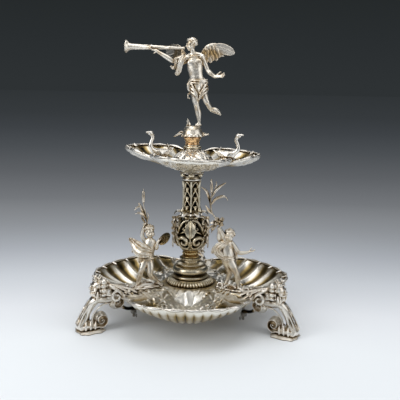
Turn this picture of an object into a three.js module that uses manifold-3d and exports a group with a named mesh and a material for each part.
// Three-footed silver table centrepiece. A fluted basin with three lobes stands on three scroll legs
// and carries a pierced column, a smaller three-lobed dish and a winged trumpeter.
// Three child figures with reed sprays stand on the basin's arms, one over each leg.
// Millimetres, +Z up. The front lobe faces -Y. The origin is the middle of the footprint, on the table.
import * as THREE from "three";
import { mergeVertices } from "three/addons/utils/BufferGeometryUtils.js";
import Module from "manifold-3d";

const wasm = await Module();
wasm.setup();

// Fits
const GAP = 0.3; // between pieces that are soldered, bolted or stacked face to face
const BORE_CLEARANCE = 0.35; // round a rod, stud, screw or spigot

// Basin, raised from sheet
const BASIN_R = 200;
const BASIN_NOTCH_R = 154; // rim radius over a leg
const BASIN_RIM_Z = 76;
const BASIN_FLOOR_Z = 39; // lowest part of a lobe, inside
const BASIN_SHOULDER = 22; // how far a lobe's floor climbs towards its arms
const ARM_Z = 68; // top of the arms and of the raised centre
const CENTRE_R = 50;
const ARM_HALF = 11; // half the flat width of an arm
const ARM_FLANK = 26; // width of the slope beside it
const BASIN_WALL = 2.2;
const BASIN_FLUTES = 8; // in each lobe
const BASIN_FLUTE_DEPTH = 4;

// Legs
const LEG_TOE_R = 236;
const SOLE_T = 4.7;
const SOLE_LENGTH = 44;
const SOLE_HALF = 25;
const LEG_HALF = 11;
const STUD_RADIUS_OUT = 121; // from the column's axis to the stud that holds a leg
const STUD_R = 2.5;
const STUD_END_Z = 14;
const EYE_Z = 28;
const EYE_T = 6;
const WING_NUT_T = 7;
const MASK_R = 199;

// Column, bottom to top
const ROD_R = 4.2;
const ROD_NUT_R = 8;
const PLINTH_T = 10;
const PLINTH_R = 47;
const STEM_FOOT_T = 40;
const STEM_FOOT_R = 35;
const KNOP_T = 17;
const KNOP_R = 18;
const BULB_T = 66;
const BULB_R = 27;
const BULB_WALL = 4;
const COLLAR_T = 9;
const COLLAR_R = 21;
const SHAFT_T = 60;
const SHAFT_R = 17.5;
const SHAFT_WALL = 4;
const RING_T = 7;
const RING_R = 19;
const CAPITAL_T = 9;
const CAPITAL_R = 24;

// Dish
const DISH_R = 148;
const DISH_NOTCH_R = 80;
const DISH_RISE = 34; // from its seat to its rim
const DISH_DIP = 11; // of the rim at the notches
const DISH_LEAN = 0.045; // rise of the left side per mm, from old use
const DISH_WALL = 2;
const DISH_FLUTES = 6; // in each lobe
const DISH_FLUTE_DEPTH = 3;
const SPIGOT_R = 9;
const SPIGOT_LENGTH = 8.5;
const SOCKET_R = 23;
const SOCKET_T = 3;
const SCREW_R = 3;
const BOSS_R = 42;
const BOSS_TOP = 42; // above the dish's seat
const NECK_T = 22;
const NECK_R = 16;
const MOUND_T = 20;
const MOUND_R = 21.6;
const PEG_R = 4;
const PEG_LENGTH = 16;

// Child figures
const FIGURE_R = 96; // from the column's axis
const BASE_LENGTH = 72;
const BASE_WIDTH = 25;
const BASE_T = 4.5;
const FIGURE_NUT_T = 5;

// Heights that follow from the stack
const plinthZ = ARM_Z + GAP;
const stemFootZ = plinthZ + PLINTH_T + GAP;
const knopZ = stemFootZ + STEM_FOOT_T + GAP;
const bulbZ = knopZ + KNOP_T + GAP;
const collarZ = bulbZ + BULB_T + GAP;
const shaftZ = collarZ + COLLAR_T + GAP;
const ringZ = shaftZ + SHAFT_T + GAP;
const capitalZ = ringZ + RING_T + GAP;
const socketZ = capitalZ + CAPITAL_T + GAP;
const dishZ = socketZ + SOCKET_T + GAP;
const neckZ = dishZ + BOSS_TOP + GAP;
const moundZ = neckZ + NECK_T + GAP;
const angelZ = moundZ + MOUND_T + GAP;
const armUnderside = ARM_Z - BASIN_WALL;
const figureZ = ARM_Z + GAP + BASE_T + GAP;
// The rear foot reaches further back than the front lobe reaches forward, so the column stands off centre.
const AXIS_Y = (BASIN_R - LEG_TOE_R) / 2;

const ARMS = { front_left: 210, front_right: 330, rear: 90 };

const finish = (color, roughness) => new THREE.MeshStandardMaterial({ color, roughness, metalness: 1 });
const silver = finish(0xd9d6cf, 0.28);
const gilt = finish(0xcdb077, 0.3);
const steel = finish(0x9a9a98, 0.4);

const radians = THREE.MathUtils.degToRad;
const at = (x, y, z) => new THREE.Vector3(x, y, z);

// A closed geometry as a manifold-3d solid with its faces pointing out.
function solid(geometry) {
  const bare = new THREE.BufferGeometry();
  bare.setAttribute("position", geometry.getAttribute("position"));
  bare.setIndex(geometry.index);
  const merged = mergeVertices(bare, 1e-3);
  const triVerts = new Uint32Array(merged.index.array);
  const vertProperties = new Float32Array(merged.attributes.position.array);
  const build = () => new wasm.Manifold(new wasm.Mesh({ numProp: 3, vertProperties, triVerts }));
  const made = build();
  if (made.volume() > 0) return made;
  for (let i = 0; i < triVerts.length; i += 3) {
    [triVerts[i + 1], triVerts[i + 2]] = [triVerts[i + 2], triVerts[i + 1]];
  }
  return build();
}

const join = (solids) => solids.reduce((all, one) => all.add(one));

// The main body of a solid, without the crumbs that a cut can leave.
const main = (made) => made.decompose().reduce((a, b) => (b.volume() > a.volume() ? b : a));

const group = new THREE.Group();
group.position.y = AXIS_Y;

// Adds a solid to the model as a named mesh, turned round the column by azimuth.
function piece(name, material, made, azimuth = 0) {
  const { numProp, vertProperties, triVerts } = made.getMesh();
  const count = vertProperties.length / numProp;
  const positions = new Float32Array(count * 3);
  for (let i = 0; i < count; i++) {
    positions.set(vertProperties.subarray(i * numProp, i * numProp + 3), i * 3);
  }
  const geometry = new THREE.BufferGeometry();
  geometry.setAttribute("position", new THREE.BufferAttribute(positions, 3));
  geometry.setIndex(new THREE.BufferAttribute(triVerts, 1));
  geometry.rotateZ(radians(azimuth));
  geometry.computeVertexNormals();
  const mesh = new THREE.Mesh(geometry, material);
  mesh.name = name;
  group.add(mesh);
}

// A turned piece with a hole down its axis. outside lists [radius, height] from the bottom up.
// With notches, every other step round it is pressed in by that much, as beads or gadroons.
function bored(outside, boreR, steps = 20, notches = 0) {
  const [bottom, top] = [outside[0][1], outside[outside.length - 1][1]];
  const outline = [[boreR, bottom], ...outside, [boreR, top], [boreR, bottom]];
  const geometry = new THREE.LatheGeometry(
    outline.map(([r, z]) => new THREE.Vector2(r, z)),
    steps,
  );
  const position = geometry.getAttribute("position");
  for (let i = 0; notches && i < position.count; i++) {
    const step = Math.floor(i / outline.length);
    const inner = [0, outline.length - 2, outline.length - 1].includes(i % outline.length);
    if (step % 2 === 0 || inner) continue;
    const [x, z] = [position.getX(i), position.getZ(i)];
    const scale = 1 - notches / Math.hypot(x, z);
    position.setXYZ(i, x * scale, position.getY(i), z * scale);
  }
  return solid(geometry.rotateX(Math.PI / 2));
}

function cylinder(r, z0, z1, steps = 10) {
  const geometry = new THREE.CylinderGeometry(r, r, z1 - z0, steps).rotateX(Math.PI / 2);
  return solid(geometry.translate(0, 0, (z0 + z1) / 2));
}

const hexNut = (r, holeR, z, thickness) =>
  cylinder(r, z, z + thickness, 6).subtract(cylinder(holeR, z - 1, z + thickness + 1));

function box(x0, x1, y0, y1, z0, z1) {
  const geometry = new THREE.BoxGeometry(x1 - x0, y1 - y0, z1 - z0);
  return solid(geometry.translate((x0 + x1) / 2, (y0 + y1) / 2, (z0 + z1) / 2));
}

function ellipsoid([x, y, z], [rx, ry, rz], grow = 0, across = 6, up = 4) {
  const geometry = new THREE.SphereGeometry(1, across, up).rotateX(Math.PI / 2);
  geometry.scale(rx + grow, ry + grow, rz + grow);
  return solid(geometry.translate(x, y, z));
}

// A tapered limb, leaf or strap: nodes are [x, y, z, half width, half depth], the width lying along side.
function limb(nodes, { sides = 5, steps = nodes.length - 1, grow = 0, side = [1, 0, 0] } = {}) {
  const path = new THREE.CatmullRomCurve3(nodes.map(([x, y, z]) => at(x, y, z)));
  const size = new THREE.CatmullRomCurve3(nodes.map(([, , , a, b = a]) => at(a + grow, b + grow, 0)));
  const positions = [];
  const index = [];
  for (let i = 0; i <= steps; i++) {
    const centre = path.getPoint(i / steps);
    const along = path.getTangent(i / steps);
    const wide = at(...side).addScaledVector(along, -at(...side).dot(along)).normalize();
    const deep = at(0, 0, 0).crossVectors(along, wide);
    const { x: a, y: b } = size.getPoint(i / steps);
    for (let k = 0; k < sides; k++) {
      const turn = (2 * Math.PI * k) / sides;
      const p = centre.clone().addScaledVector(wide, a * Math.cos(turn));
      positions.push(...p.addScaledVector(deep, b * Math.sin(turn)));
    }
  }
  const ends = [0, 1].map((t) => {
    const { x: a, y: b } = size.getPoint(t);
    const cap = (t ? 0.45 : -0.45) * Math.min(a, b);
    positions.push(...path.getPoint(t).addScaledVector(path.getTangent(t), cap));
    return positions.length / 3 - 1;
  });
  for (let k = 0; k < sides; k++) {
    const next = (k + 1) % sides;
    index.push(ends[0], next, k, ends[1], steps * sides + k, steps * sides + next);
    for (let i = 0; i < steps; i++) {
      const [a, b] = [i * sides + k, i * sides + next];
      index.push(a, b, a + sides, b, b + sides, a + sides);
    }
  }
  const geometry = new THREE.BufferGeometry();
  geometry.setAttribute("position", new THREE.Float32BufferAttribute(positions, 3));
  geometry.setIndex(index);
  return solid(geometry);
}

// Limbs and balls joined into one casting. grow fattens them all, to cut a neighbour clear of it.
function cast(recipe, grow = 0) {
  return join(
    recipe.map(({ ball, size, nodes, across, up, ...options }) =>
      ball ? ellipsoid(ball, size, grow, across, up) : limb(nodes, { ...options, grow }),
    ),
  );
}

// A scroll in the XZ plane: a band that winds in towards its middle. hand 1 winds from +X towards +Z.
function volute(x, z, r, band, width, startAngle, turns, hand = 1) {
  const steps = Math.round(turns * 8);
  const spot = (i, inset) => {
    const turn = radians(startAngle) + (hand * turns * 2 * Math.PI * i) / steps;
    const radius = Math.max(r - ((r - band) * i) / steps - inset, 0.6);
    return new THREE.Vector2(x + radius * Math.cos(turn), z + radius * Math.sin(turn));
  };
  const outer = Array.from({ length: steps + 1 }, (_, i) => spot(i, 0));
  const inner = Array.from({ length: steps + 1 }, (_, i) => spot(steps - i, band));
  const outline = new THREE.Shape([...outer, ...inner]);
  const geometry = new THREE.ExtrudeGeometry(outline, { depth: width, bevelEnabled: false });
  return solid(geometry.rotateX(Math.PI / 2).translate(0, width / 2, 0));
}

const around = (made, count, start = 0) =>
  join(Array.from({ length: count }, (_, i) => made.rotate(0, 0, start + (360 * i) / count)));

const ease = (t) => {
  const c = THREE.MathUtils.clamp(t, 0, 1);
  return c * c * (3 - 2 * c);
};

// Lobed sheet work. The three arms divide the lobes.

// Degrees past the arm that comes before this azimuth, 0 to 120.
const pastArm = (azimuth) => (((azimuth - ARMS.rear) % 120) + 120) % 120;
const fromArm = (azimuth) => Math.min(pastArm(azimuth), 120 - pastArm(azimuth));

// 1 in the middle of a flute and 0 on the ridges between flutes. plain is the unfluted angle by an arm.
function flute(azimuth, flutes, plain) {
  const along = (pastArm(azimuth) - plain) / (120 - 2 * plain);
  if (along < 0 || along > 1) return 0;
  return 0.5 - 0.5 * Math.cos(2 * Math.PI * flutes * along);
}

// The azimuths of a sheet's mesh: some angles beside each arm, then two steps to a flute.
function azimuthsFor(flutes, plain, besideArm) {
  const third = [0, ...besideArm];
  for (let i = 0; i <= 2 * flutes; i++) third.push(plain + ((120 - 2 * plain) * i) / (2 * flutes));
  third.push(...besideArm.map((a) => 120 - a).reverse());
  return [0, 120, 240].flatMap((turn) => third.map((a) => ARMS.rear + turn + a));
}

// A sheet from a hole in its middle out to edge(azimuth), between two height functions of (r, azimuth).
// Its rings of points lie at the radii given, from the hole out, and then at shares of what is left.
function sheet({ azimuths, radii, shares, edge, upper, lower }) {
  const last = radii[radii.length - 1];
  const ringsAt = (azimuth) => [...radii, ...shares.map((share) => last + (edge(azimuth) - last) * share)];
  const positions = [];
  const index = [];
  for (const height of [upper, lower]) {
    for (const azimuth of azimuths) {
      const turn = radians(azimuth);
      for (const r of ringsAt(azimuth)) {
        positions.push(r * Math.cos(turn), r * Math.sin(turn), height(r, azimuth));
      }
    }
  }
  const [n, m] = [azimuths.length, radii.length + shares.length];
  for (let i = 0; i < n; i++) {
    const [here, next] = [i * m, ((i + 1) % n) * m];
    const under = n * m;
    for (let j = 0; j < m - 1; j++) {
      index.push(here + j, here + j + 1, next + j + 1, here + j, next + j + 1, next + j);
      const [a, b] = [under + here + j, under + next + j];
      index.push(a, b + 1, a + 1, a, b, b + 1);
    }
    for (const [j, flip] of [[0, false], [m - 1, true]]) {
      const [a, b, c, d] = [here + j, next + j, under + here + j, under + next + j];
      index.push(...(flip ? [a, c, d, a, d, b] : [a, d, c, a, b, d]));
    }
  }
  const geometry = new THREE.BufferGeometry();
  geometry.setAttribute("position", new THREE.Float32BufferAttribute(positions, 3));
  geometry.setIndex(index);
  return solid(geometry);
}

// The lower face of a sheet, far enough down to leave the wall's thickness on a slope.
function underneath(upper, wall) {
  return (r, azimuth) => {
    const slope = (upper(r, azimuth) - upper(r - 2, azimuth)) / 2;
    return upper(r, azimuth) - wall * Math.hypot(1, slope);
  };
}

const BASIN_PLAIN = 15;

function basinEdge(azimuth) {
  const notch = 1 - ease(fromArm(azimuth) / 42);
  return BASIN_R - (BASIN_R - BASIN_NOTCH_R) * notch - 2.5 * (1 - flute(azimuth, BASIN_FLUTES, BASIN_PLAIN));
}

function basinTop(r, azimuth) {
  const edge = basinEdge(azimuth);
  const rise = Math.max((r - 110) / (edge - 110), 0) ** 2.3;
  const rim = BASIN_RIM_Z - 4 * (1 - ease((fromArm(azimuth) - 12) / 14));
  const floor = BASIN_FLOOR_Z + BASIN_SHOULDER * (1 - ease((fromArm(azimuth) - 20) / 30));
  const lobe = floor + (rim - floor) * rise;
  const besideArm = r * Math.sin(radians(fromArm(azimuth)));
  const raised = Math.max(1 - ease((besideArm - ARM_HALF) / ARM_FLANK), 1 - ease((r - CENTRE_R) / ARM_FLANK));
  const fluted = flute(azimuth, BASIN_FLUTES, BASIN_PLAIN) * ease((r - 118) / 40) * (1 - raised);
  return Math.max(lobe, ARM_Z * raised + lobe * (1 - raised)) - BASIN_FLUTE_DEPTH * fluted;
}

let basin = sheet({
  azimuths: azimuthsFor(BASIN_FLUTES, BASIN_PLAIN, [4.5, 12]),
  radii: [ROD_R + BORE_CLEARANCE, CENTRE_R, CENTRE_R + ARM_FLANK],
  shares: [0.28, 0.5, 0.69, 0.86, 1],
  edge: basinEdge,
  upper: basinTop,
  lower: underneath(basinTop, BASIN_WALL),
});
const figureHole = cylinder(STUD_R + BORE_CLEARANCE, 40, 90).translate(FIGURE_R, 0, 0);
basin = basin.subtract(around(figureHole, 3, ARMS.rear));
piece("basin", silver, basin);

// Legs, drawn in the XZ plane with +X pointing out from the column. Three castings from one pattern.

const footZ = SOLE_T + GAP;
const kneeZ = armUnderside - GAP;

const legRecipe = [
  {
    nodes: [
      [166, 0, kneeZ - 9, LEG_HALF - 2, 6],
      [182, 0, kneeZ - 9, LEG_HALF - 1, 7],
      [197, 0, kneeZ - 5, LEG_HALF, 8],
      [210, 0, kneeZ - 16, LEG_HALF, 7.5],
      [219, 0, kneeZ - 36, LEG_HALF, 7],
      [231, 0, footZ + 6, LEG_HALF + 2, 6],
    ],
    steps: 6,
    side: [0, 1, 0],
  },
  { ball: [LEG_TOE_R - 8, 0, footZ + 5], size: [7.5, 13, 6] },
];

// A rolled end of a cast scroll: solid, with a spiral ridge standing out on both its sides.
function roll(x, z, r, half, startAngle, hand) {
  const core = cylinder(r - 0.6, -half, half, 12).rotate(90, 0, 0).translate(x, 0, z);
  return core.add(volute(x, z, r, 4.5, 2 * half + 3, startAngle, 1.15, hand));
}

function leg(grow = 0) {
  const studEye = cylinder(STUD_R + 4.5, EYE_Z, EYE_Z + EYE_T).translate(STUD_RADIUS_OUT, 0, 0);
  const bracket = limb(
    [
      [STUD_RADIUS_OUT + 3, 0, EYE_Z + 3, 5, 2.6],
      [STUD_RADIUS_OUT + 14, 0, EYE_Z + 4, 6, 3],
      [148, 0, EYE_Z + 12, 7, 3.6],
      [156, 0, kneeZ - 13, 8, 5],
    ],
    { side: [0, 1, 0], steps: 5 },
  );
  return join([
    cast(legRecipe, grow),
    bracket,
    studEye,
    box(146, 178, -9, 9, kneeZ - 8, kneeZ),
    roll(158, kneeZ - 15, 14, LEG_HALF, 70, 1),
    roll(192, footZ + 14, 14.6, LEG_HALF + 2, -80, -1),
    box(186, 232, -LEG_HALF, LEG_HALF, footZ, footZ + 5),
  ]);
}

const outerRecess = limb(
  [
    [215, 0, 47, 3.4, 3],
    [225, 0, 32, 4.2, 3],
    [231, 0, 20, 3.2, 3],
  ],
  { side: [0, 1, 0] },
);
const studHole = cylinder(STUD_R + BORE_CLEARANCE, 0, kneeZ + 5).translate(STUD_RADIUS_OUT, 0, 0);
const belowSole = box(100, 300, -60, 60, -30, footZ);
const oneLeg = leg().subtract(outerRecess).subtract(studHole).subtract(belowSole);

function solePlate() {
  const outline = [];
  for (let i = 0; i < 20; i++) {
    const turn = (2 * Math.PI * i) / 20;
    const scallop = 1 - 0.07 * (i % 2);
    const along = Math.sign(Math.cos(turn)) * Math.abs(Math.cos(turn)) ** 0.7 * scallop;
    const across = Math.sign(Math.sin(turn)) * Math.abs(Math.sin(turn)) ** 0.7 * scallop;
    outline.push(new THREE.Vector2((SOLE_LENGTH / 2) * along, SOLE_HALF * across));
  }
  const geometry = new THREE.ExtrudeGeometry(new THREE.Shape(outline), { depth: SOLE_T, bevelEnabled: false });
  return solid(geometry.translate(LEG_TOE_R - SOLE_LENGTH / 2, 0, 0));
}

// A grotesque bearded mask with curled hair, facing outwards over the rim.
const maskRecipe = [
  { ball: [MASK_R, 0, 87], size: [15, 16, 20], across: 8, up: 6 },
  { ball: [MASK_R + 13, 0, 85], size: [4.5, 4, 6] },
  { ball: [MASK_R + 9, 0, 93], size: [6, 11, 3.4] },
  { ball: [MASK_R + 6, 0, 69], size: [9, 10, 11] },
  { ball: [MASK_R - 3, 14, 97], size: [8, 7, 9] },
  { ball: [MASK_R - 3, -14, 97], size: [8, 7, 9] },
  { ball: [MASK_R - 4, 15, 80], size: [7, 6, 8] },
  { ball: [MASK_R - 4, -15, 80], size: [7, 6, 8] },
  { ball: [MASK_R, 0, 105], size: [9, 9, 6] },
];
const mask = main(
  cast(maskRecipe)
    .subtract(leg(GAP))
    .subtract(box(100, BASIN_NOTCH_R + GAP, -60, 60, 0, 200)),
);

const wingNut = join([
  cylinder(STUD_R + 2.6, EYE_Z - GAP - WING_NUT_T, EYE_Z - GAP, 10),
  limb([[0, -14, EYE_Z - 8, 1.3, 4.4], [0, -9, EYE_Z - 7, 1.3, 4], [0, -2, EYE_Z - 4, 1.4, 3]]),
  limb([[0, 2, EYE_Z - 4, 1.4, 3], [0, 9, EYE_Z - 7, 1.3, 4], [0, 14, EYE_Z - 8, 1.3, 4.4]]),
])
  .subtract(cylinder(STUD_R + BORE_CLEARANCE, 0, 60))
  .translate(STUD_RADIUS_OUT, 0, 0);

const legStud = join([
  cylinder(STUD_R, STUD_END_Z, armUnderside - GAP),
  cylinder(STUD_R + 4, armUnderside - GAP - 2, armUnderside - GAP),
]).translate(STUD_RADIUS_OUT, 0, 0);

for (const [name, azimuth] of Object.entries(ARMS)) {
  piece(`leg_${name}`, silver, oneLeg, azimuth);
  piece(`foot_plate_${name}`, silver, solePlate(), azimuth);
  piece(`mask_${name}`, silver, mask, azimuth);
  piece(`leg_stud_${name}`, steel, legStud, azimuth);
  piece(`leg_wing_nut_${name}`, steel, wingNut, azimuth);
}

// Column. Each piece slides over the tie rod and the stack is drawn tight from below.

const rodBore = ROD_R + BORE_CLEARANCE;
const spigotBore = SPIGOT_R + BORE_CLEARANCE;
const raisedBy = (z, points) => points.map(([r, dz]) => [r, z + dz]);

const washerZ = armUnderside - GAP - 2.5;
const rodNutZ = washerZ - GAP - 7;
const rodTopNutT = 4.5;
piece("tie_rod", steel, cylinder(ROD_R, rodNutZ - 4, ringZ + rodTopNutT + 0.8));
piece("tie_rod_washer", steel, bored([[15, washerZ], [15, washerZ + 2.5]], rodBore));
piece("tie_rod_nut", steel, hexNut(ROD_NUT_R, rodBore, rodNutZ, 7));
piece("tie_rod_top_nut", steel, hexNut(ROD_NUT_R, rodBore, ringZ, rodTopNutT));

const plinth = [
  [PLINTH_R - 1, 0],
  [PLINTH_R, 3],
  [PLINTH_R - 2, 7],
  [PLINTH_R - 6, PLINTH_T],
];
piece("plinth_ring", gilt, bored(raisedBy(plinthZ, plinth), rodBore, 40, 1.8));

const stemFoot = [
  [STEM_FOOT_R - 2, 0],
  [STEM_FOOT_R - 1, 6],
  [STEM_FOOT_R - 5, 9],
  [STEM_FOOT_R - 4, 11],
  [STEM_FOOT_R, 16],
  [STEM_FOOT_R - 3, 24],
  [STEM_FOOT_R - 8, 27],
  [STEM_FOOT_R - 8, 29.5],
  [STEM_FOOT_R - 14, 33],
  [STEM_FOOT_R - 15, 37],
  [STEM_FOOT_R - 13, STEM_FOOT_T],
];
piece("stem_foot", silver, bored(raisedBy(stemFootZ, stemFoot), rodBore, 18));

const knop = [
  [KNOP_R - 1, 0],
  [KNOP_R, 2],
  [KNOP_R - 3, 4],
  [KNOP_R - 1, 8.5],
  [KNOP_R - 3, 13],
  [KNOP_R - 0.5, 15],
  [KNOP_R - 2, KNOP_T],
];
piece("stem_knop", gilt, bored(raisedBy(knopZ, knop), rodBore));

// The bulb is a pierced shell round the rod, with six pairs of straps.
const bulb = [
  [BULB_R - 11, 0],
  [BULB_R - 6, 6],
  [BULB_R - 1.5, 17],
  [BULB_R, 30],
  [BULB_R - 1, 42],
  [BULB_R - 4, 53],
  [BULB_R - 10, BULB_T],
];

function bulbShell(grow = 0) {
  return bored(raisedBy(bulbZ, bulb.map(([r, z]) => [r + grow, z])), rodBore, 12);
}

// A pointed opening cut through a wall that stands out along +X. z is its foot.
function lancet(z, half, height, reach) {
  const outline = new THREE.Shape([
    new THREE.Vector2(0, 0),
    new THREE.Vector2(half, height * 0.3),
    new THREE.Vector2(half * 0.8, height * 0.7),
    new THREE.Vector2(0, height),
    new THREE.Vector2(-half * 0.8, height * 0.7),
    new THREE.Vector2(-half, height * 0.3),
  ]);
  const geometry = new THREE.ExtrudeGeometry(outline, { depth: reach, bevelEnabled: false });
  return solid(geometry.rotateX(Math.PI / 2).rotateZ(Math.PI / 2).translate(0, 0, z));
}

const bulbHollow = bored(
  raisedBy(bulbZ, bulb.slice(1, -1).map(([r, z]) => [r - BULB_WALL, z])),
  rodBore - 0.5,
  12,
);
// The scrolls bulge from the shell's lower half, in pairs that roll towards each other.
const strapScroll = volute(0, bulbZ + 16, 7.5, 2.8, 3, 100, 1.1, 1).rotate(0, 0, 90);
const bulbScrolls = around(
  join([strapScroll.translate(BULB_R - 2, 0, 0).rotate(0, 0, 16), strapScroll
    .mirror([0, 1, 0])
    .translate(BULB_R - 2, 0, 0)
    .rotate(0, 0, -16)]),
  3,
  30,
);
const bulbOpenings = join([
  around(lancet(bulbZ + 27, 4.6, 31, 40), 6),
  around(lancet(bulbZ + 33, 3.4, 22, 40), 6, 30),
  around(lancet(bulbZ + 8, 3.6, 15, 40), 6),
]);
piece("bulb_scrollwork", silver, bulbShell().subtract(bulbHollow).subtract(bulbOpenings).add(bulbScrolls));

// Leafy brackets down the sides of the bulb, in line with the legs.
const bracketRecipe = [
  {
    nodes: [
      [18, 0, bulbZ + 65, 3, 2],
      [29, 0, bulbZ + 66, 4.5, 2.4],
      [35, 0, bulbZ + 55, 5, 2.2],
      [30, 0, bulbZ + 43, 4, 2.4],
      [32, 0, bulbZ + 33, 4.5, 2.2],
      [39, 0, bulbZ + 26, 3, 1.8],
      [40, 0, bulbZ + 14, 1.4, 1.2],
    ],
    steps: 10,
    sides: 6,
    side: [0, 1, 0],
  },
  { nodes: [[24, 0, bulbZ + 40, 3, 3], [31, 0, bulbZ + 41, 3, 2.4]], side: [0, 1, 0] },
  { ball: [34, 0, bulbZ + 63], size: [4, 5, 4] },
];
const bulbBracket = cast(bracketRecipe).subtract(bulbShell(GAP));

const collar = [
  [COLLAR_R - 5, 0],
  [COLLAR_R - 1, 3],
  [COLLAR_R, 6],
  [COLLAR_R - 3, COLLAR_T],
];
const collarSolid = bored(raisedBy(collarZ, collar), rodBore, 12);
const collarLeaf = limb([
  [COLLAR_R - 4, 0, collarZ + 4, 4, 1.6],
  [COLLAR_R + 5, 0, collarZ + 6, 4, 1.6],
  [COLLAR_R + 8, 0, collarZ + 2, 2.4, 1.4],
], { side: [0, 1, 0] });
const collarLeaves = around(collarLeaf, 6, 0);
piece("shaft_collar", silver, collarSolid.add(collarLeaves));
for (const [name, azimuth] of Object.entries(ARMS)) {
  const clear = join([collarSolid, collarLeaves]).rotate(0, 0, -azimuth).translate(0, 0, -GAP);
  piece(`bulb_bracket_${name}`, silver, main(bulbBracket.subtract(clear)), azimuth);
}

// The shaft is a pierced tube: three tiers of pointed openings between six ribs.
const shaftLower = SHAFT_R + 1;
const shaftTube = bored(
  raisedBy(shaftZ, [[shaftLower, 0], [SHAFT_R - 1, 8], [SHAFT_R - 2, 50], [SHAFT_R, SHAFT_T]]),
  rodBore,
  12,
);
const shaftHollow = bored(
  raisedBy(shaftZ, [[SHAFT_R - SHAFT_WALL, 4], [SHAFT_R - SHAFT_WALL - 1.5, SHAFT_T - 5]]),
  rodBore - 0.5,
  12,
);
const shaftOpenings = join(
  [6, 24, 41].map((dz) => around(lancet(shaftZ + dz, 4.2, 15, 30), 6, 30)),
);
const shaftRib = limb([
  [SHAFT_R - 1.5, 0, shaftZ + 1.5, 2, 1.6],
  [SHAFT_R - 2, 0, shaftZ + 30, 1.4, 1.6],
  [SHAFT_R - 1.5, 0, shaftZ + SHAFT_T - 2, 1.8, 1.6],
], { side: [0, 1, 0], sides: 4 });
piece("pierced_shaft", silver, shaftTube.subtract(shaftHollow).subtract(shaftOpenings).add(around(shaftRib, 6)));

const ring = [
  [RING_R - 1.5, 0],
  [RING_R, 2],
  [RING_R - 1, 5],
  [RING_R - 3, RING_T],
];
piece("shaft_ring", silver, bored(raisedBy(ringZ, ring), spigotBore));

const capital = [
  [CAPITAL_R - 8, 0],
  [CAPITAL_R - 6, 3],
  [CAPITAL_R - 1, 6],
  [CAPITAL_R, 7.5],
  [CAPITAL_R - 1, CAPITAL_T],
];
piece("capital", silver, bored(raisedBy(capitalZ, capital), spigotBore, 20, 1.2));

// Upper tier: a three-lobed dish with its spigot, which lifts off the capital.

const DISH_PLAIN = 12;

// Each lobe is a circle that passes through two notches and has its tip at DISH_R.
const LOBE_CENTRE = (DISH_R ** 2 - DISH_NOTCH_R ** 2) / (2 * DISH_R - DISH_NOTCH_R);

function dishEdge(azimuth) {
  const aside = radians(60 - fromArm(azimuth));
  const lobeR = DISH_R - LOBE_CENTRE;
  const scallop = 2 * (1 - flute(azimuth, DISH_FLUTES, DISH_PLAIN));
  return LOBE_CENTRE * Math.cos(aside) + Math.sqrt(lobeR ** 2 - (LOBE_CENTRE * Math.sin(aside)) ** 2) - scallop;
}

function dishTop(r, azimuth) {
  const t = r / dishEdge(azimuth);
  const rim = DISH_RISE - DISH_DIP * (1 - ease(fromArm(azimuth) / 26));
  const floor = DISH_WALL + 10 * ease((r - 16) / 66);
  const wall = (rim - DISH_WALL - 10) * Math.max((t - 0.5) / 0.5, 0) ** 3;
  const fluted = DISH_FLUTE_DEPTH * flute(azimuth, DISH_FLUTES, DISH_PLAIN) * ease((t - 0.45) / 0.3);
  return dishZ + Math.min(floor + wall, rim) - fluted - leaning(r * Math.cos(radians(azimuth)), r);
}

function leaning(x, r) {
  return DISH_LEAN * x * ease((r - BOSS_R - 4) / 40);
}

const dishGrid = {
  azimuths: azimuthsFor(DISH_FLUTES, DISH_PLAIN, [5]),
  radii: [SCREW_R + BORE_CLEARANCE, 20, BOSS_R],
  shares: [0.4, 0.7, 0.87, 1],
  edge: dishEdge,
};
const dish = sheet({ ...dishGrid, upper: dishTop, lower: underneath(dishTop, DISH_WALL) });
// Everything below the dish's upper face, to cut the pieces that sit on it.
const dishBelow = sheet({
  ...dishGrid,
  upper: (r, azimuth) => dishTop(r, azimuth) + GAP,
  lower: () => dishZ - 60,
});
piece("upper_dish", silver, dish);

const socket = join([
  bored([[SPIGOT_R, socketZ - SPIGOT_LENGTH], [SPIGOT_R, socketZ + 0.5]], SPIGOT_R - 2, 14),
  bored([[SOCKET_R, socketZ], [SOCKET_R, socketZ + SOCKET_T]], SCREW_R + BORE_CLEARANCE, 14),
]);
piece("dish_socket", silver, socket);

const screwTop = dishZ + 20;
piece(
  "dish_screw",
  steel,
  join([cylinder(SCREW_R, socketZ - 1, screwTop), cylinder(SCREW_R + 2.6, socketZ - GAP - 3.5, socketZ - GAP)]),
);

const boss = [
  [12, GAP],
  [30, 2.9],
  [BOSS_R, 5.6],
  [BOSS_R, 18],
  [BOSS_R - 5, 25],
  [BOSS_R - 14, 30],
  [BOSS_R - 22, 35],
  [NECK_R, 38],
  [NECK_R, BOSS_TOP - DISH_WALL],
];
const screwBore = cylinder(SCREW_R + BORE_CLEARANCE, dishZ, screwTop + 1);
const bossSolid = bored(raisedBy(dishZ + DISH_WALL, boss), 1.5)
  .add(cylinder(2, dishZ + 12, dishZ + BOSS_TOP))
  .subtract(screwBore);
piece("dish_boss", silver, bossSolid);

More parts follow.
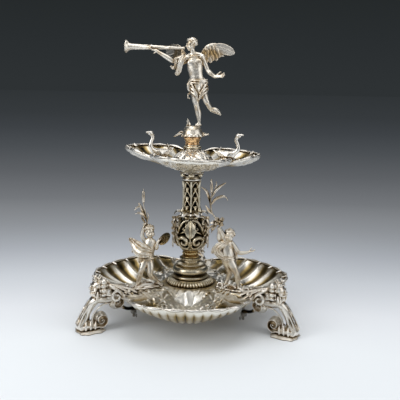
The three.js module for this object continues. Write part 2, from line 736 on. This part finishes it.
// Long-necked water birds lying on the ridges between the lobes, facing outwards.
const BIRD_R = 67;
const birdRecipe = [
  { ball: [BIRD_R, 0, dishZ + 36], size: [22, 9, 8] },
  { ball: [BIRD_R, 0, dishZ + 26], size: [14, 8, 8], across: 8, up: 5 },
  { nodes: [[50, 0, dishZ + 40, 6, 3.5], [43, 0, dishZ + 43, 3.5, 1.6]], side: [0, 1, 0] },
  { nodes: [[58, 8, dishZ + 42, 2, 5], [70, 9, dishZ + 40, 2, 6], [79, 7, dishZ + 38, 2, 4]], side: [0, 1, 0] },
  { nodes: [[58, -8, dishZ + 42, 2, 5], [70, -9, dishZ + 40, 2, 6], [79, -7, dishZ + 38, 2, 4]], side: [0, 1, 0] },
  {
    nodes: [
      [82, 0, dishZ + 37, 5, 5],
      [91, 0, dishZ + 44, 4, 4],
      [94, 0, dishZ + 56, 3, 3],
      [90, 0, dishZ + 66, 2.6, 2.6],
      [93, 0, dishZ + 73, 3, 3],
      [101, 0, dishZ + 75, 1.8, 1.5],
      [107, 0, dishZ + 77, 1, 0.8],
    ],
    steps: 7,
    side: [0, 1, 0],
  },
];
for (const [name, azimuth] of Object.entries(ARMS)) {
  const clear = dishBelow.add(bossSolid.translate(0, 0, GAP)).rotate(0, 0, -azimuth);
  const lift = -leaning(BIRD_R * Math.cos(radians(azimuth)), BIRD_R);
  const bird = cast(birdRecipe.map((part) => lifted(part, lift)));
  piece(`bird_${name}`, silver, main(bird.subtract(clear)), azimuth);
}

const neck = [
  [NECK_R, 0],
  [NECK_R, 4],
  [NECK_R - 3.6, 6.5],
  [NECK_R - 2.5, 13],
  [NECK_R, 19],
  [NECK_R + 1, NECK_T],
];
piece("gilt_neck", gilt, bored(raisedBy(neckZ, neck), PEG_R + BORE_CLEARANCE));

// Finial: a leafy mound with a peg, which lifts out of the neck with the trumpeter on it.

const mound = [
  [MOUND_R - 1, 0],
  [MOUND_R, 3],
  [MOUND_R - 3, 9],
  [MOUND_R - 6, 14],
  [MOUND_R - 9, MOUND_T],
];
const moundSolid = join([
  bored(raisedBy(moundZ, mound), 1, 14, 1.5),
  cylinder(2, moundZ, moundZ + MOUND_T),
  cylinder(PEG_R, moundZ - PEG_LENGTH, moundZ + 2),
  limb([[-16, 0, moundZ + 4, 3, 2.4], [-27, 0, moundZ + 5, 4.5, 2], [-35, 0, moundZ + 2, 2, 1.4]]),
  limb([[16, 0, moundZ + 5, 3, 2.4], [25, 0, moundZ + 6, 4, 2], [32, 0, moundZ + 10, 2, 1.4]]),
  limb([[-9, 0, moundZ + 15, 3, 2.4], [-9, 0, moundZ + 25, 3.4, 2], [-10, 0, moundZ + 33, 1, 0.8]], {
    side: [0, 1, 0],
  }),
]);
piece("finial_mound", silver, moundSolid);

// The trumpeter stands on one foot. Positions are from the middle of the mound's top.
const angelRecipe = [
  { nodes: [[3, -6, 2, 3.4, 2.2], [10, -1, 3.5, 3.6, 3], [13, 2, 5, 3, 3]], side: [0, 0, 1] },
  { nodes: [[12.5, 1, 4, 3], [12.3, 2, 14, 3.2], [9.5, 2, 30, 5.4], [7.5, -1, 44, 5], [4, 0, 56, 7], [2, 1, 68, 8.5]] },
  {
    nodes: [
      [17, 2, 70, 8.5],
      [22, 0, 58, 7],
      [26, 0, 46, 5.2],
      [30, 8, 39, 5],
      [37, 15, 32, 3.2],
      [41, 17, 29, 3],
    ],
    steps: 6,
  },
  { nodes: [[39, 16, 31, 3, 2.6], [45, 17, 26, 3.6, 2.2], [53, 16, 24, 2.8, 1.4]], side: [0, 1, 0] },
  {
    nodes: [
      [9, 2, 62, 16, 10],
      [9.5, 1, 74, 17, 11.5],
      [9, 0, 86, 14.5, 9.5],
      [5, -1, 97, 13, 8.5],
      [2.5, -1, 112, 15, 9.5],
      [1, 0, 126, 15, 8],
      [-1, 0, 134, 7, 5.5],
      [-3.5, -1, 144, 4.6, 4.6],
    ],
    sides: 8,
    steps: 8,
  },
  { nodes: [[-8, -5, 88, 3, 3], [-9, -6, 74, 4, 3], [-7, -4, 60, 3.4, 2.4], [-8, -3, 53, 1.6, 1.4]] },
  { ball: [-4.6, -2, 151.5], size: [9.6, 10.5, 12], across: 8, up: 6 },
  { ball: [2.4, 2, 153], size: [6, 8.5, 9] },
  { ball: [-14, -5, 149], size: [2.4, 2, 3] },
  {
    nodes: [[-11, -1, 128, 5.5], [-24, -6, 124.5, 4.3], [-36.5, -8, 122.5, 4], [-57, -8, 132, 3.2], [-72, -7, 140, 2.6]],
    steps: 6,
    side: [0, 0, 1],
  },
  { ball: [-76, -7, 142], size: [5, 4.4, 4.6] },
  {
    nodes: [[13, 0, 130, 5.5], [20, 1, 122, 4.4], [28, 1, 110, 3.9], [35, -2, 101, 3.2], [41, -4, 95, 2.5]],
    steps: 6,
    side: [0, 1, 0],
  },
  { nodes: [[41, -4, 95, 3, 2], [50, -6, 96, 4.4, 1.6], [60, -8, 99, 2.6, 1]], side: [0, 1, 0] },
].map((part) => lifted(part, angelZ));

function lifted(part, z, x = 0, y = 0) {
  const shift = ([a, b, c, ...rest]) => [a + x, b + y, c + z, ...rest];
  if (part.ball) return { ...part, ball: shift(part.ball) };
  return { ...part, nodes: part.nodes.map(shift) };
}

// A long straight trumpet: turned along +X from the mouthpiece, then laid from the mouth to the bell.
const TRUMPET_MOUTH = at(-16.5, -7, angelZ + 144.5);
const TRUMPET_BELL = at(-128.5, 6, angelZ + 146.5);

function trumpet(grow = 0) {
  const length = TRUMPET_MOUTH.distanceTo(TRUMPET_BELL);
  const profile = [
    [0, -grow],
    [2.6 + grow, -grow],
    [2 + grow, 3],
    [2.6 + grow, length * 0.3],
    [3.4 + grow, length * 0.6],
    [5 + grow, length * 0.93],
    [12 + grow, length - 1.5],
    [12 + grow, length],
    [0, length],
  ];
  const made = new THREE.LatheGeometry(profile.map(([r, z]) => new THREE.Vector2(r, z)), 14);
  const direction = TRUMPET_BELL.clone().sub(TRUMPET_MOUTH).normalize();
  made.applyQuaternion(new THREE.Quaternion().setFromUnitVectors(at(0, 1, 0), direction));
  return solid(made.translate(...TRUMPET_MOUTH));
}

const bellHollow = () => {
  const inside = TRUMPET_BELL.clone().lerp(TRUMPET_MOUTH, -0.02);
  const back = TRUMPET_BELL.clone().lerp(TRUMPET_MOUTH, 0.1);
  const cone = new THREE.CylinderGeometry(11, 1.5, inside.distanceTo(back), 14);
  const direction = inside.clone().sub(back).normalize();
  cone.applyQuaternion(new THREE.Quaternion().setFromUnitVectors(at(0, 1, 0), direction));
  return solid(cone.translate(...inside.clone().lerp(back, 0.5)));
};

const belowAngel = box(-60, 60, -60, 60, angelZ - 40, angelZ);
const angel = cast(angelRecipe).subtract(trumpet(GAP)).subtract(belowAngel).subtract(moundSolid.translate(0, 0, GAP));
piece("angel", silver, main(angel));
piece("trumpet", silver, trumpet().subtract(bellHollow()));

// A wing is a thick leading edge with feathers fanned below it. Both wings sweep back.
const wingRecipe = [
  {
    nodes: [[5, 8, 124, 3, 3], [15, 12, 133, 4.4, 3.4], [24, 15, 146, 5, 3], [36, 19, 151, 4.4, 2.4], [54, 24, 150, 3, 1.8]],
    steps: 6,
    side: [0, 0, 1],
  },
  { nodes: [[38, 19, 149, 6, 1.6], [56, 24, 145, 7.4, 1.5], [78, 28, 142, 3, 1]], side: [0, 0, 1], sides: 4 },
  { nodes: [[34, 19, 146, 5, 1.5], [48, 22, 139, 6, 1.4], [62, 26, 135, 3, 1]], side: [0, 0, 1], sides: 4 },
  { nodes: [[28, 17, 146, 5, 1.5], [36, 19, 137, 6, 1.4], [42, 21, 130, 3, 1]], side: [0, 0, 1], sides: 4 },
  { nodes: [[22, 15, 142, 5, 1.5], [27, 17, 132, 5.5, 1.4], [31, 18, 124, 3, 1]], side: [1, 0, 0], sides: 4 },
  { nodes: [[16, 12, 134, 4, 1.5], [20, 14, 127, 4.5, 1.4], [23, 15, 121, 2.6, 1]], side: [1, 0, 0], sides: 4 },
];
const mirrored = (part) => {
  const flip = ([a, ...rest]) => [-a, ...rest];
  return part.ball ? { ...part, ball: flip(part.ball) } : { ...part, nodes: part.nodes.map(flip) };
};
const clearOfAngel = cast(angelRecipe, GAP).add(trumpet(GAP));
const wingLeft = cast(wingRecipe.map((part) => lifted(part, angelZ)));
const wingRight = cast(wingRecipe.map(mirrored).map((part) => lifted(part, angelZ - 4, -2)));
piece("wing_left", silver, main(wingLeft.subtract(clearOfAngel)));
piece("wing_right", silver, main(wingRight.subtract(clearOfAngel)));

const sashRecipe = [
  { nodes: [[-24, -7, 131, 5, 2.4], [-26, -11, 122, 5.5, 2], [-27, -10, 110, 5, 1.8], [-30, -9, 98, 4, 1.6]], steps: 4 },
  { nodes: [[-33, -8, 128, 4, 2.2], [-34, -4, 118, 4, 1.8], [-37, -6, 109, 4, 1.6], [-42, -8, 111, 2.4, 1.4]], steps: 5 },
].map((part) => lifted(part, angelZ));
piece("sash", silver, main(cast(sashRecipe).subtract(clearOfAngel)));

// Child figures on the arms. Positions are from the middle of each figure's base, world directions.

const leftChild = [
  { nodes: [[-25, -13, 2, 4, 2.4], [-17, -9, 4, 4, 3.4]], side: [0, 1, 0] },
  { nodes: [[-15, -8, 3, 4], [-11, -8, 16, 5.4], [-7, -10, 30, 5.6], [-3, -4, 44, 7.4], [1, 0, 54, 8.5]] },
  { nodes: [[5, 0, 54, 8.5], [9, -7, 38, 7], [8, -9, 24, 5.6], [16, 2, 13, 5], [23, 10, 5, 3.6]], steps: 5 },
  { nodes: [[22, 9, 3, 4, 3], [29, 8, 2.4, 3.6, 2]], side: [0, 1, 0] },
  { nodes: [[3, 0, 50, 11, 9], [3, -1, 60, 12, 10], [6, -1, 72, 11, 9], [8, 0, 84, 12, 8], [8, 0, 92, 5, 5], [8, 0, 98, 4.5]], sides: 7 },
  { ball: [7.5, -1, 106.5], size: [8.6, 9, 10.4], across: 8, up: 6 },
  { ball: [9, 3, 110], size: [8.6, 8, 8.4] },
  { nodes: [[-1, 0, 87, 4.6], [-7, -1, 99, 4], [-4, -1, 112, 3], [-2, -1, 119, 3.4]], side: [0, 1, 0] },
  { nodes: [[15, 0, 86, 4.6], [20, -5, 74, 3.8], [21, -9, 84, 3.4], [25, -9, 90, 2.8]], side: [0, 1, 0] },
];
const leftDrape = [
  { nodes: [[3, -10, 70, 3, 1.6], [-7, -9, 74, 7, 1.6], [-18, -4, 83, 6, 1.4], [-26, 0, 90, 2.4, 1.2]], side: [0, 0, 1] },
  { nodes: [[4, -11, 72, 4, 1.6], [-3, -12, 62, 6, 1.6], [-6, -9, 50, 4, 1.4]] },
];
const leftReeds = [
  { nodes: [[-5, 0, 106, 1.2], [-2, 0, 120, 1.4], [-1, 0, 133, 1.3], [-5, 0, 150, 1.2], [-7, 0, 164, 1]], sides: 4 },
  { nodes: [[-7, 0, 163, 1.6], [-7.5, 0, 170, 2.6], [-8, 0, 192, 2.4], [-8, 0, 200, 0.7]], sides: 4 },
  { nodes: [[-3, 0, 140, 2, 0.9], [-10, 2, 152, 3, 0.9], [-17, 4, 166, 1, 0.7]], sides: 4 },
  { nodes: [[-3, 0, 138, 2, 0.9], [-10, -3, 147, 3, 0.9], [-19, -6, 152, 2.4, 0.8], [-24, -8, 149, 0.8, 0.7]], sides: 4 },
  { nodes: [[-2, 0, 136, 2, 0.9], [5, -2, 148, 3, 0.9], [11, -4, 158, 1, 0.7]], sides: 4 },
];

const rightChild = [
  { nodes: [[2, -8, 2, 4, 2.4], [9, -4, 4, 4, 3.4]], side: [0, 1, 0] },
  { nodes: [[9, -4, 3, 4], [9, -5, 17, 5.4], [6, -9, 31, 5.8], [-2, -5, 45, 7.6], [-8, 0, 56, 8.5]] },
  { nodes: [[-14, 2, 56, 8.5], [-9, 4, 40, 7], [-5, 6, 28, 5.6], [-8, 14, 16, 5], [-14, 12, 5, 3.6]], steps: 5 },
  { nodes: [[-14, 11, 3, 4, 3], [-21, 11, 2.4, 3.6, 2]], side: [0, 1, 0] },
  { nodes: [[-11, 0, 52, 11, 9], [-11, -1, 62, 12, 10], [-13, -1, 74, 11, 9], [-13, 0, 86, 12, 8], [-11, 0, 93, 5, 5], [-10, 0, 98, 4.5]], sides: 7 },
  { ball: [-9.5, -1, 104], size: [8.6, 9, 10.4], across: 8, up: 6 },
  { ball: [-7, 3, 107], size: [8.6, 8, 8.4] },
  { nodes: [[-22, 0, 88, 4.6], [-28, -2, 99, 4], [-27, -2, 113, 3.2], [-26, -2, 123, 3.4]], side: [0, 1, 0] },
  { nodes: [[-4, 0, 87, 4.6], [5, -2, 75, 3.9], [11, -4, 68, 3.6], [22, -6, 70, 2.8], [30, -7, 73, 2.4]], side: [0, 1, 0] },
  { nodes: [[30, -7, 73, 2.6, 1.6], [35, -8, 75, 3, 1.2], [40, -8, 77, 1.6, 0.9]], side: [0, 1, 0] },
];
const rightDrape = [
  { nodes: [[-17, -8, 88, 3, 1.8], [-25, -8, 82, 6, 2.4], [-25, -9, 72, 5, 2], [-20, -8, 62, 3, 1.6]] },
  { nodes: [[-6, 9, 84, 4, 1.6], [0, 11, 70, 6, 1.6], [4, 12, 54, 4, 1.4]] },
];
const rightReeds = [
  { nodes: [[-24, -2, 108, 1.2], [-27, -2, 122, 1.4], [-36, -2, 136, 1.3], [-44, -2, 148, 1.3], [-45, -2, 168, 1.2], [-43, -2, 186, 1]], sides: 4, steps: 7 },
  { nodes: [[-43, -2, 184, 1.6], [-43, -2, 188, 2.4], [-44, -2, 200, 2.2], [-45, -2, 209, 0.7]] },
  { nodes: [[-46, -2, 158, 2, 0.9], [-49, 0, 176, 2.6, 0.9], [-56, 2, 189, 2, 0.8], [-64, 3, 193, 0.8, 0.7]], sides: 4 },
  { nodes: [[-44, -2, 176, 2, 0.9], [-36, -3, 190, 2.6, 0.9], [-26, -4, 198, 2, 0.8], [-17, -4, 203, 0.8, 0.7]], sides: 4 },
  { nodes: [[-45, -2, 162, 2, 0.9], [-36, -4, 173, 2.6, 0.9], [-24, -5, 178, 2.4, 0.9], [-14, -5, 172, 0.9, 0.7]], sides: 4 },
  { nodes: [[-26, -2, 124, 2], [-30, -6, 130, 5, 2]], sides: 4 },
  { nodes: [[-34, -7, 136, 4, 2.4], [-27, -9, 130, 2, 2]], sides: 4 },
  { nodes: [[-22, -7, 136, 4, 2.4], [-28, -9, 130, 2, 2]], sides: 4 },
  { nodes: [[-33, -7, 124, 4, 2.4], [-28, -9, 130, 2, 2]], sides: 4 },
  { nodes: [[-21, -7, 124, 4, 2.4], [-28, -9, 130, 2, 2]], sides: 4 },
];

function figureBase() {
  const plate = new THREE.CylinderGeometry(0.94, 1, BASE_T, 16).rotateX(Math.PI / 2);
  plate.scale(BASE_LENGTH / 2, BASE_WIDTH / 2, 1).translate(0, 0, ARM_Z + GAP + BASE_T / 2);
  const stud = cylinder(STUD_R, armUnderside - GAP - FIGURE_NUT_T - 3, ARM_Z + GAP + 1);
  return solid(plate).add(stud).translate(FIGURE_R, 0, 0);
}

const nutZ = armUnderside - GAP - FIGURE_NUT_T;
const figureNut = hexNut(6, STUD_R + BORE_CLEARANCE, nutZ, FIGURE_NUT_T).translate(FIGURE_R, 0, 0);

// The cloth is cast with the body. azimuth is the arm, spin turns a figure made for another arm.
function childFigure(name, azimuth, spin, recipe, reeds, cymbal) {
  const turn = radians(azimuth - spin);
  const [x, y] = [FIGURE_R * Math.cos(turn), FIGURE_R * Math.sin(turn)];
  const place = (part) => lifted(part, figureZ, x, y);
  const spray = reeds.map(place);
  const ground = box(-200, 200, -200, 200, 0, figureZ);
  let figure = cast(recipe.map(place)).subtract(cast(spray, GAP)).subtract(ground);
  if (cymbal) {
    const held = cymbal.translate(x, y, figureZ);
    const clear = held.add(held.translate(0, 0, GAP)).add(held.translate(0, -GAP, -GAP));
    figure = figure.subtract(clear);
    piece(`cymbal_${name}`, gilt, held, spin);
  }
  piece(`child_${name}`, silver, main(figure), spin);
  piece(`reeds_${name}`, silver, cast(spray), spin);
  piece(`figure_base_${name}`, silver, figureBase(), azimuth);
  piece(`figure_nut_${name}`, steel, figureNut, azimuth);
}

const cymbal = solid(
  new THREE.SphereGeometry(1, 12, 6)
    .scale(12.5, 12.5, 1.5)
    .rotateX(radians(-18))
    .rotateY(radians(-28))
    .translate(35, -10, 95),
);
childFigure("front_left", ARMS.front_left, 0, [...leftChild, ...leftDrape], leftReeds, cymbal);
childFigure("front_right", ARMS.front_right, 0, [...rightChild, ...rightDrape], rightReeds);
childFigure("rear", ARMS.rear, ARMS.rear - ARMS.front_left, [...leftChild, ...leftDrape], leftReeds, cymbal);

export default group;
